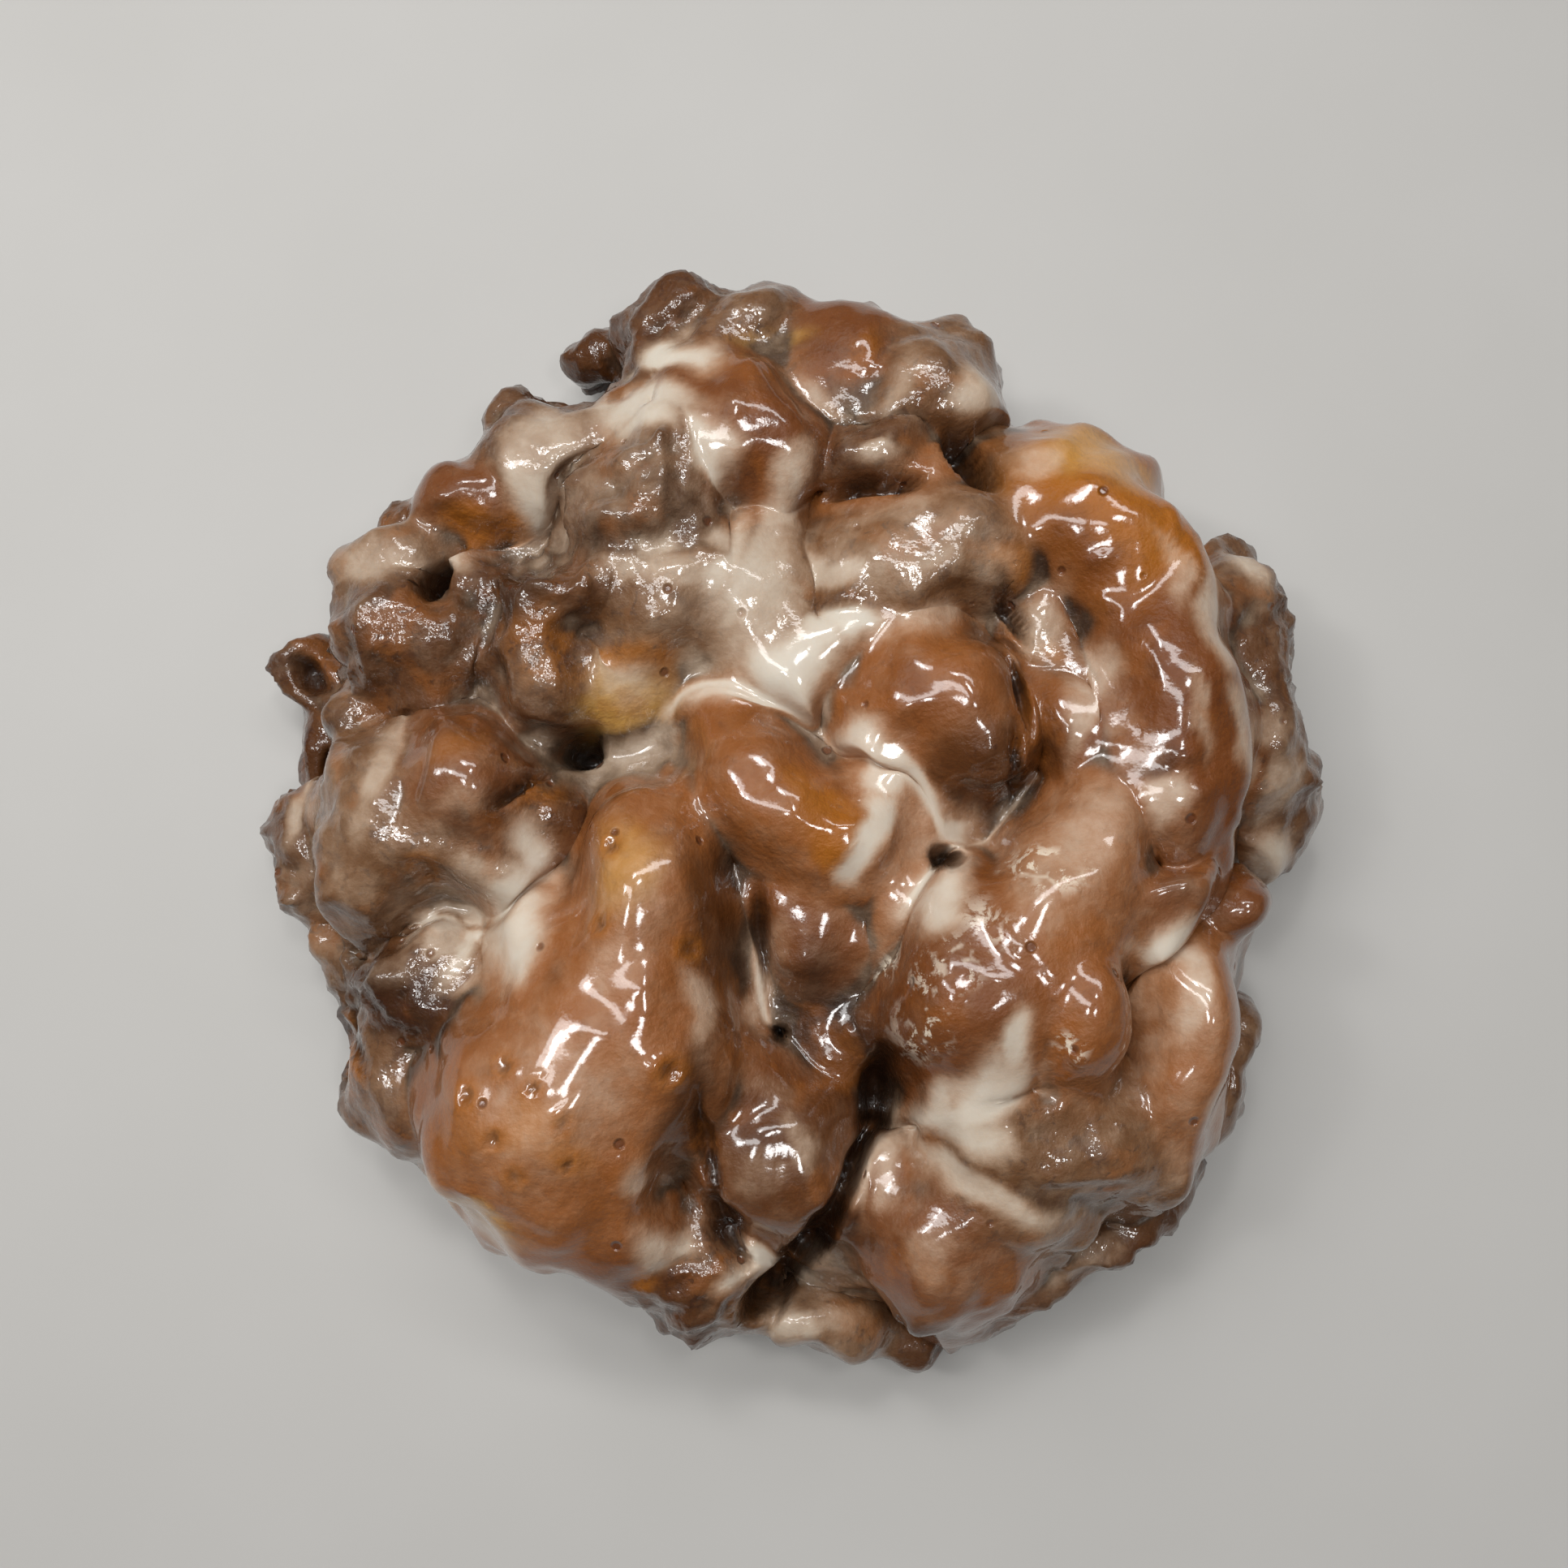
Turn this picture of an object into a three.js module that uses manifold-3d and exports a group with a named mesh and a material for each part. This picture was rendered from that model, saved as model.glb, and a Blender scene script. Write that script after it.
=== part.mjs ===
// Apple fritter: one fried piece of apple dough, in millimetres, +Z up.
// It rests on its flat underside at z = 0, with the origin under the middle of its outline.
// Lobes of dough run together over a low core, slow waves make them uneven, and pits are cut last.
import * as THREE from 'three';
import { mergeVertices } from 'three/addons/utils/BufferGeometryUtils.js';
import Module from 'manifold-3d';

const crustColour = 0x7a4526;
const crustRoughness = 0.35;

// A lobe with fullness 2 would be a plain ellipsoid; a larger number gives flatter, fuller sides.
const fullness = 2.5;

// How far neighbouring lobes run into each other where they meet.
const blend = 2;

// The skin is found along rays that run from a flat seed inside the dough to a shell well outside it.
const facetDetail = 22;
const seed = { radius: 34, halfHeight: 1, z: 12 };
const shell = { radius: 100, halfHeight: 60 };
const finestStep = 0.4;

// Slow waves that push the surface about: the longest wave, how each next one shrinks, and how many.
const waveLength = 36;
const waveShrink = 0.76;
const waveCount = 6;
const wavePush = 0.03;

// From the middle of the lobes' own layout to the middle of the outline.
const centreX = -0.03;
const centreY = -1.28;

// Lobes: x, y, crest height, length, width, thickness, turn of the length from +X in degrees.
const lobes = {
  core: [0, -2, 28, 122, 124, 34, 0],
  northWestKnob: [-16, 65.5, 33, 19, 17, 30, -87],
  darkCrag: [-28, 68, 18, 12, 8, 18, 45],
  northFold: [-6, 63.5, 34, 17, 11, 28, 45],
  northDome: [8, 62.5, 37, 17, 17, 32, -88],
  northRidge: [18, 56, 36, 21, 9, 30, -81],
  northEar: [22.5, 58, 31, 19, 10, 28, -84],
  earTip: [25, 57, 27, 12, 6, 20, -86],
  northSaddle: [13, 56, 33, 12, 11, 28, -24],
  northLip: [11, 46, 39, 14, 8, 26, -7],
  northHeart: [-5, 50, 41, 21, 17, 34, -52],
  shelf: [-27, 52, 33, 31, 11, 28, 15],
  shelfNub: [-38, 55, 27, 7, 5, 18, 46],
  shelfWeb: [-36, 47, 31, 16, 10, 28, 22],
  northWestDome: [-19, 39, 41, 21, 23, 34, -86],
  domeTail: [-16, 25, 38, 19, 17, 30, -64],
  yellowCheek: [-22, 15, 32, 12, 8, 26, 20],
  amberKnob: [-43, 41, 33, 16, 12, 28, -22],
  amberNib: [-54, 42, 25, 8, 6, 18, 52],
  westThorn: [-54, 35, 31, 18, 7, 20, 2],
  westFinger: [-30, 28, 41, 15, 8, 26, 25],
  westCheek: [-32, 19, 38, 20, 14, 30, -50],
  cheekRoot: [-41, 27, 31, 12, 9, 24, 42],
  westShoulder: [-51, 22, 35, 24, 18, 30, -40],
  westCurl: [-69, 20, 15, 14, 10, 14, -45],
  westFlap: [-68, 10, 13, 12, 7, 12, 59],
  westWeb: [-60, 13, 28, 12, 10, 26, -56],
  westBall: [-41, 4, 41, 17, 17, 32, -2],
  westWall: [-55, -3, 36, 28, 18, 30, -80],
  wallInner: [-44, -5, 37, 20, 13, 28, -24],
  westBud: [-67.5, -6, 20, 20, 11, 20, -78],
  amberCrumb: [-33, -1, 34, 11, 7, 22, 30],
  westSkirt: [-62, -20, 18, 11, 7, 18, -63],
  southWestCrag: [-47, -25, 33, 24, 12, 26, -17],
  southWestRim: [-53, -33, 27, 17, 13, 26, -80],
  southWestRough: [-58.5, -31, 17, 18, 7, 17, -72],
  southWestWeb: [-50, -37, 27, 18, 10, 26, -77],
  southWestLip: [-38.5, -53.5, 18, 26, 7, 18, -24],
  tongueRoot: [-18.5, -16, 44, 41, 22, 38, 86],
  tongueFlank: [-31, -29, 41, 34, 18, 36, 60],
  tongueBelly: [-25.5, -36.5, 44, 46, 33, 42, 47],
  tongueHip: [-38, -40, 36, 22, 16, 34, -66],
  tongueHeel: [-21.5, -52.5, 34, 18, 15, 33, 29],
  southKnob: [-14, -62, 31, 17, 13, 30, -35],
  knobSide: [-7, -64, 26, 11, 8, 26, -86],
  southBud: [-27, -68, 13, 9, 8, 13, -50],
  southWeb: [-11, -55, 28, 12, 10, 27, -63],
  southEgg: [-1, -45, 38, 23, 23, 36, -76],
  eggShoulder: [-3, -34, 34, 13, 10, 28, -14],
  southPlum: [7, -29, 32, 18, 12, 28, -72],
  lowCrescent: [7, -59, 16, 12, 7, 16, -30],
  crescentFoot: [4, -65, 13, 13, 6, 13, 9],
  southFoot: [5, -70, 20, 18, 9, 20, -9],
  whiteSpur: [12, -47, 27, 11, 5, 20, 42],
  southEastDome: [23, -24, 46, 29, 21, 40, 57],
  wrist: [36.5, -7.5, 43, 30, 12, 34, 70],
  southEastBelly: [34, -41, 40, 28, 18, 36, 3],
  thumb: [35, -25, 47, 20, 12, 26, -86],
  eastBridge: [45, -12, 42, 18, 7, 26, 14],
  eastArm: [51, -30, 39, 31, 12, 34, 78],
  eastButton: [58, -13, 35, 7, 8, 20, -20],
  amberNook: [47, -23, 33, 12, 8, 26, -75],
  eastSkirt: [60, -34, 22, 22, 7, 22, 71],
  eastWeb: [54, -12, 26, 16, 11, 26, -76],
  southEastSlope: [46, -46, 32, 16, 10, 30, 11],
  wedgeFront: [20, -56, 35, 26, 22, 34, -60],
  wedgeSide: [28, -51, 35, 23, 15, 34, -8],
  southEastSkirt: [40, -59, 21, 41, 9, 21, 32],
  wedgeToe: [17, -72, 12, 11, 6, 12, -27],
  northEastArm: [41, 35, 42, 33, 21, 36, -53],
  eastArmLow: [49, 13, 43, 44, 20, 36, -79],
  eastFlank: [62, 18, 28, 46, 17, 28, -78],
  flankWeb: [60, 20, 25, 36, 10, 25, -77],
  flankFoot: [68, -3, 20, 15, 10, 20, 51],
  northEastDark: [30, 41, 36, 16, 11, 30, -70],
  northEastTip: [40, 45, 34, 22, 16, 32, -20],
  eastFold: [34, 22, 35, 17, 10, 25, -61],
  foldLow: [36, 10, 37, 16, 9, 26, -56],
  armBud: [47, -3, 40, 9, 7, 22, -55],
  heartDome: [19, 13, 41.5, 26, 20, 36, -34],
  domeSpur: [24, 7, 40, 15, 10, 28, -42],
  centreFold: [18, 32, 40, 34, 16, 32, 6],
  foldBack: [16, 41, 37, 24, 8, 26, 8],
  amberWedge: [-0.5, 0, 41, 31, 18, 36, -43],
  wedgeRidge: [2.5, 1, 42, 25, 6, 28, -47],
  pinkWedge: [2, -15, 36, 21, 15, 32, -44],
  roseStrip: [12, -7, 35, 27, 11, 30, -80],
  channelBed: [-4, 28, 34, 26, 14, 28, 82],
  centreBed: [4, 20, 34, 22, 10, 28, 18],
  northBed: [8, 57, 33, 40, 20, 30, -10],
  handBack: [31.5, -16.5, 45, 32, 17, 38, 46],
};

// Pits and pinholes: x, y, height of the pit's middle, length, width, depth, turn in degrees.
const pits = {
  deepPit: [-29, 8.5, 28, 9, 6, 36, 20],
  westPit: [-46, 32, 26, 6, 4, 26, 60],
  southGap: [-1.5, -63, 15, 7, 4, 22, 30],
  northNotch: [24, 45, 30, 9, 4, 24, -50],
  canyonTop: [11.5, -38, 32, 12, 3.5, 22, 78],
  canyonLow: [3, -57, 20, 11, 4.5, 26, 52],
  pinhole: [20.5, -6, 32, 2.8, 2.6, 18, 0],
  lowPinhole: [-2, -28, 31, 2.6, 2.2, 16, 30],
  skirtHollow: [45, -59, 19, 7, 4, 12, 30],
  curlHollow: [-68, 21, 15, 8, 4.5, 12, -45],
};

// A lobe as the axes and sizes that the distance to it needs.
function prepare([x, y, crest, length, width, thickness, turn]) {
  const angle = THREE.MathUtils.degToRad(turn);
  return {
    middle: new THREE.Vector3(x, y, crest - thickness / 2),
    cos: Math.cos(angle),
    sin: Math.sin(angle),
    half: [length / 2, width / 2, thickness / 2],
  };
}

const dough = Object.values(lobes).map(prepare);

// Distance from a point to one lobe's surface, below zero inside it.
function lobeDistance({ middle, cos, sin, half }, point) {
  const [x, y, z] = [point.x - middle.x, point.y - middle.y, point.z - middle.z];
  const across = [(x * cos + y * sin) / half[0], (y * cos - x * sin) / half[1], z / half[2]];
  let sum = 1e-9;
  let slope = 0;
  for (let i = 0; i < 3; i++) {
    const part = Math.abs(across[i]);
    sum += part ** fullness;
    slope += (part ** (fullness - 1) / half[i]) ** 2;
  }
  const depth = sum ** (1 / fullness);
  return (depth - 1) / (Math.sqrt(slope) * depth ** (1 - fullness) + 1e-9);
}

// Distance to all the lobes run together.
function doughDistance(point) {
  let sum = 1e-30;
  for (const one of dough) {
    const distance = THREE.MathUtils.clamp(lobeDistance(one, point), -12, 60);
    sum += Math.exp(-distance / blend);
  }
  return -blend * Math.log(sum);
}

// The point at t on the ray of a direction, from the seed at 0 to the shell at 1.
function alongRay(direction, t, target) {
  const radius = seed.radius + (shell.radius - seed.radius) * t;
  const height = seed.halfHeight + (shell.halfHeight - seed.halfHeight) * t;
  return target.set(direction.x * radius, direction.y * radius, seed.z + direction.z * height);
}

// Where on its ray the skin is: steps inward until the ray enters the dough, then halves the last step.
function skinPlace(direction) {
  const point = new THREE.Vector3();
  const rayLength = alongRay(direction, 1, new THREE.Vector3()).distanceTo(alongRay(direction, 0, point));
  let outside = 1;
  let inside = 0;
  for (let t = 1; t > 0;) {
    const distance = doughDistance(alongRay(direction, t, point));
    if (distance < 0) {
      inside = t;
      break;
    }
    outside = t;
    t -= Math.max(finestStep, distance * 0.5) / rayLength;
  }
  for (let i = 0; i < 12; i++) {
    const half = (outside + inside) / 2;
    if (doughDistance(alongRay(direction, half, point)) < 0) inside = half;
    else outside = half;
  }
  return inside;
}

// Each place on the skin is drawn halfway to the average of its neighbours' places.
function relax(places, index) {
  const sums = new Float64Array(places.length);
  const counts = new Float64Array(places.length);
  for (let i = 0; i < index.count; i++) {
    const here = index.getX(i);
    const next = index.getX(i % 3 === 2 ? i - 2 : i + 1);
    sums[here] += places[next];
    counts[here] += 1;
  }
  return places.map((place, i) => (place + sums[i] / counts[i]) / 2);
}

// Each wave runs along its own heading and pushes the surface sideways and a little up and down.
function sway(geometry) {
  const at = geometry.attributes.position;
  for (let i = 0; i < at.count; i++) {
    const [x, y, z] = [at.getX(i), at.getY(i), at.getZ(i)];
    let [dx, dy, dz] = [0, 0, 0];
    for (let wave = 0; wave < waveCount; wave++) {
      const span = waveLength * waveShrink ** wave;
      const heading = 2.4 * wave;
      const along = x * Math.cos(heading) + y * Math.sin(heading) + 0.6 * z;
      const push = wavePush * span * Math.sin((2 * Math.PI * along) / span + 1.9 * wave);
      dx -= push * Math.sin(heading);
      dy += push * Math.cos(heading);
      dz += push * 0.4;
    }
    at.setXYZ(i, x + dx - centreX, y + dy - centreY, z + dz);
  }
  return geometry;
}

// The dough's skin: an even net of directions, each carried to the surface and swayed.
function skin() {
  const net = new THREE.IcosahedronGeometry(1, facetDetail);
  net.deleteAttribute('normal');
  net.deleteAttribute('uv');
  const geometry = mergeVertices(net, 1e-5);
  const at = geometry.attributes.position;
  const directions = Array.from({ length: at.count }, (_, i) => new THREE.Vector3().fromBufferAttribute(at, i));
  const places = relax(directions.map(skinPlace), geometry.index);
  const point = new THREE.Vector3();
  for (let i = 0; i < at.count; i++) {
    alongRay(directions[i], places[i], point);
    at.setXYZ(i, point.x, point.y, point.z);
  }
  return sway(geometry);
}

// A pit's own shape: an ellipsoid with few facets.
function pit([x, y, z, length, width, depth, turn]) {
  const geometry = new THREE.SphereGeometry(1, 9, 7);
  geometry.rotateX(Math.PI / 2);
  geometry.scale(length / 2, width / 2, depth / 2);
  geometry.rotateZ(THREE.MathUtils.degToRad(turn));
  geometry.translate(x, y, z);
  return sway(geometry);
}

const wasm = await Module();
wasm.setup();

function toSolid(geometry) {
  const bare = geometry.clone();
  bare.deleteAttribute('normal');
  bare.deleteAttribute('uv');
  const merged = mergeVertices(bare, 1e-5);
  const vertProperties = Float32Array.from(merged.attributes.position.array);
  const triVerts = Uint32Array.from(merged.index.array);
  return new wasm.Manifold(new wasm.Mesh({ numProp: 3, vertProperties, triVerts }));
}

function toGeometry(solid) {
  const mesh = solid.getMesh();
  const geometry = new THREE.BufferGeometry();
  geometry.setAttribute('position', new THREE.BufferAttribute(Float32Array.from(mesh.vertProperties), 3));
  geometry.setIndex(new THREE.BufferAttribute(Uint32Array.from(mesh.triVerts), 1));
  return geometry;
}

// Everything below the surface it rests on, and every pit, is cut away.
const below = new THREE.BoxGeometry(400, 400, 100);
below.translate(0, 0, -50);
let solid = toSolid(skin()).subtract(toSolid(below));
for (const sizes of Object.values(pits)) {
  solid = solid.subtract(toSolid(pit(sizes)));
}

const fritter = new THREE.Mesh(
  toGeometry(solid),
  new THREE.MeshStandardMaterial({ color: crustColour, roughness: crustRoughness, metalness: 0 }),
);
fritter.name = 'fritter';

const group = new THREE.Group();
group.add(fritter);
export default group;
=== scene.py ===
"""Apple fritter: browned fried dough under a milky sugar glaze, seen from almost straight above.

The dough is a low core with lobes run together over it. All shapes are worked out in millimetres
and put into the meshes in metres.
"""
import math

import bpy
import numpy as np
from mathutils import Matrix, Vector


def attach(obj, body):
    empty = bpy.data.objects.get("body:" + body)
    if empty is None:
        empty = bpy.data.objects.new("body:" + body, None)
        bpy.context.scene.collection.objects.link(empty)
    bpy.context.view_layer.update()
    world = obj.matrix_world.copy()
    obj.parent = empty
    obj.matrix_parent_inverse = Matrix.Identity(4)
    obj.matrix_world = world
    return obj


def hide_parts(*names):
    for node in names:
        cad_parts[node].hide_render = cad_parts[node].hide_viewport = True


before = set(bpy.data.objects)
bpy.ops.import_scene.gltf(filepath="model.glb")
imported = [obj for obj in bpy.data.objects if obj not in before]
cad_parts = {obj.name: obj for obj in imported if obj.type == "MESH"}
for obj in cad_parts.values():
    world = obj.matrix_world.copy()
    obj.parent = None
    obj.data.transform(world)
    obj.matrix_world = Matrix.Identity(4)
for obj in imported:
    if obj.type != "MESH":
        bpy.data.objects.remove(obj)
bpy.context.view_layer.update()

MM = 0.001

# How fine the skin is: the size of one square of it.
SKIN_SQUARE = 0.9

# Points around and along each lobe's ball, before one skin is laid over all of them.
BALL_AROUND = 36
BALL_ALONG = 20

# A lobe with fullness 2 would be a plain ellipsoid; a larger number gives flatter, fuller sides.
FULLNESS = 2.5

# A lobe counts as far as this many times its longest half size and a margin more, and its distance
# is held within this range.
LOBE_REACH = 1.45
LOBE_MARGIN = 15.0
DISTANCE_RANGE = (-12.0, 30.0)

# How far lobes run into each other where bare crusts meet, and where glaze fills the crease.
CRUST_BLEND = 1.9
GLAZE_BLEND = 4.2

# How far the lobes' colours run into each other, and a tight blend that finds the seams for their
# painted shade.
COLOUR_BLEND = 1.2
SEAM_BLEND = 0.5

# The skin settles this far inside the lobes, so that relief and glaze bring it out to their size.
# It takes a few rounds, and no point moves further than the longest step in one.
INSET = 0.8
SETTLE_ROUNDS = 4
LONGEST_STEP = 2.0

# Slow waves that push the surface about: the longest wave, how each next one shrinks, how many,
# and the push for each millimetre of a wave's length.
WAVE_LENGTH = 36.0
WAVE_SHRINK = 0.76
WAVE_COUNT = 6
WAVE_PUSH = 0.03

# How far each next wave's heading and start turn, how steeply waves climb, and how far they lift.
WAVE_TURN = 2.4
WAVE_START = 1.9
WAVE_CLIMB = 0.6
WAVE_LIFT = 0.4

# From the middle of the lobes' own layout to the middle of the outline.
CENTRE = np.array([-0.03, -1.28, 0.0])

# Large numbers that mix a cell's indices and a seed, and the largest 32 and 16 bit numbers.
CELL_MIX = np.array([374761393, 668265263, 1440662683])
SEED_MIX = 974711
LAST_MIX = 1274126177
WORD = 0xFFFFFFFF
HALF_WORD = 0xFFFF

# A cloud's layers and how far each is shifted, and the seeds between one axis of a drift and the next.
CLOUD_LAYERS = 2
LAYER_SHIFT = 17.3
AXIS_SEEDS = 10

# Noises: size in millimetres and seed.
WANDER_CLOUD = (8.0, 50)
PATCH_CLOUD = (22.0, 5)
PUFF_CLOUD = (13.0, 3)
CREST_CLOUD = (8.0, 13)
RIPPLE_CLOUD = (3.4, 9)
RUNS_CLOUD = (12.0, 31)
FOOT_CLOUD = (10.0, 71)
RIM_CLOUD = (8.0, 81)
BLISTER_NOISE = (2.8, 21)
CRAG_NOISE = (3.6, 41)

# How far the edges of spots wander, and how far pools spread past their half sizes.
WANDER = 1.8
POOL_SPREAD = 0.7

# Rounds of moving points or values halfway to their neighbours: more rounds reach further.
NEAR_POOL_ROUNDS = 25
FILL_ROUNDS = 40
SETTLED_ROUNDS = 2
CREASE_ROUNDS = (40, 30, 20, 12, 8, 8)
RISE_ROUNDS = 3
LEVEL_EDGE_ROUNDS = 8
LEVEL_ROUNDS = 25
CALM_ROUNDS = 4
DIP_ROUNDS = 8
BASIN_ROUNDS = 60

# Where a share starts and where it is whole. Radius of a spot, in half sizes:
SPOT_EDGE = (0.4, 1.5)
# Strength of a pool that is level, and of one that keeps the crust beside it from browning:
LEVEL_POOL = (0.4, 0.85)
BARE_POOL = (0.04, 0.3)
# Red of the crust as light, from craggy to smooth:
SMOOTH_RED = (0.06, 0.15)
# Millimetres outside the tightly blended lobes, for the painted shade in seams:
SEAM_GAP = (0.4, 1.5)
# Millimetres below the surroundings, far round:
SEAM_BASIN = (-0.1, 0.35)
RUN_IN_BASIN = (0.1, 0.9)
# Where bare hollows take painted shade:
SHADE_BASIN = (0.05, 0.7)
VALLEY_BASIN = (-0.2, 1.0)
# Millimetres below the surroundings, close by, for painted shade in dips of craggy crust:
CRAG_DIP = (0.02, 0.2)
# How far a face looks up, from 0 to 1, and how thick a pool is:
FACING_UP = (0.1, 0.9)
THICK_POOL = (0.0, 1.05)
# Height in millimetres:
GLAZED_HEIGHT = (1.0, 12.0)
RIM_HEIGHT = (1.0, 11.0)
PIT_HEIGHT = (6.0, 14.0)

# Burst bubbles show only above this height.
PORE_HEIGHT = 20.0

# Crust tones and the milk of the glaze, as display colours from 0 to 255.
TONES = {
    "rose": (128, 73, 30),
    "russet": (104, 56, 21),
    "umber": (78, 43, 16),
    # Very dark crust, and also the painted shade in seams, hollows, pits and shaded slopes.
    "dark": (34, 18, 8),
    "amber": (150, 88, 22),
    "gold": (190, 146, 72),
    "grey": (90, 55, 26),
}
MILK = (198, 192, 179)
THIN_MILK = (220, 184, 148)

# Tones of the marks that the material scatters over the crust, and of dry sugar.
BLOTCH = (58, 28, 13)
WINDOW = (136, 78, 28)
CRATER = (84, 40, 14)
SPECK = (52, 24, 10)
SUGAR = (214, 200, 180)

# Shader settings: a dull crust under a wet coat, with a little light scattered below the surface.
GLOSS = {
    "Roughness": 0.4,
    "Specular IOR Level": 0.2,
    "Coat Weight": 1.0,
    "Coat Roughness": 0.1,
    "Coat IOR": 1.5,
    "Subsurface Weight": 0.12,
    "Subsurface Radius": (0.0016, 0.001, 0.0006),
    "Subsurface Scale": 1.0,
}

# The floor: half its side and the size of its mottling in millimetres, its two tones, how dull it is.
FLOOR_HALF = 2000.0
FLOOR_MOTTLE = 60.0
FLOOR_TONES = ((166, 164, 160), (174, 172, 169))
FLOOR_ROUGHNESS = 0.6

# The sky's colour and strength.
SKY_COLOUR = (1.0, 0.98, 0.95, 1.0)
SKY_STRENGTH = 0.05

# Lamps: place, width and length in metres, power in watts, and if the gloss mirrors them.
LAMPS = {
    "key": ((-0.32, 0.36, 0.6), 0.5, 0.5, 2.35, False),
    "fill": ((0.35, -0.5, 0.45), 0.5, 0.5, 0.35, False),
    "strip_west": ((-0.3, 0.1, 0.7), 0.09, 0.6, 1.7, True),
    "strip_north": ((0.08, 0.4, 0.7), 0.6, 0.09, 1.7, True),
}

# A ring of small lamps: how many, the first one's angle, the shortest reach and the steps to longer
# ones, the middle, the height and the side in metres, and the power in watts.
RING_COUNT = 5
RING_START = 0.5
RING_REACH = 0.2
RING_STEP = 0.13
RING_STEPS = 3
RING_MIDDLE = (-0.05, 0.08)
RING_HEIGHT = 0.75
RING_SIDE = 0.09
RING_POWER = 0.7

# The camera: its place in metres from the middle of the lobes' own layout, the way it looks, the way
# that is up for it, the sensor's width and the lens in millimetres, and the nearest it sees in metres.
CAMERA_PLACE = (0.00103, -0.01776, 0.2219)
CAMERA_FORWARD = (-0.00836, 0.1079, -0.99413)
CAMERA_UP = (0.0, 1.0, 0.1079)
SENSOR_WIDTH = 36.0
LENS = 34.055
NEAREST_SEEN = 0.01

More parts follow.
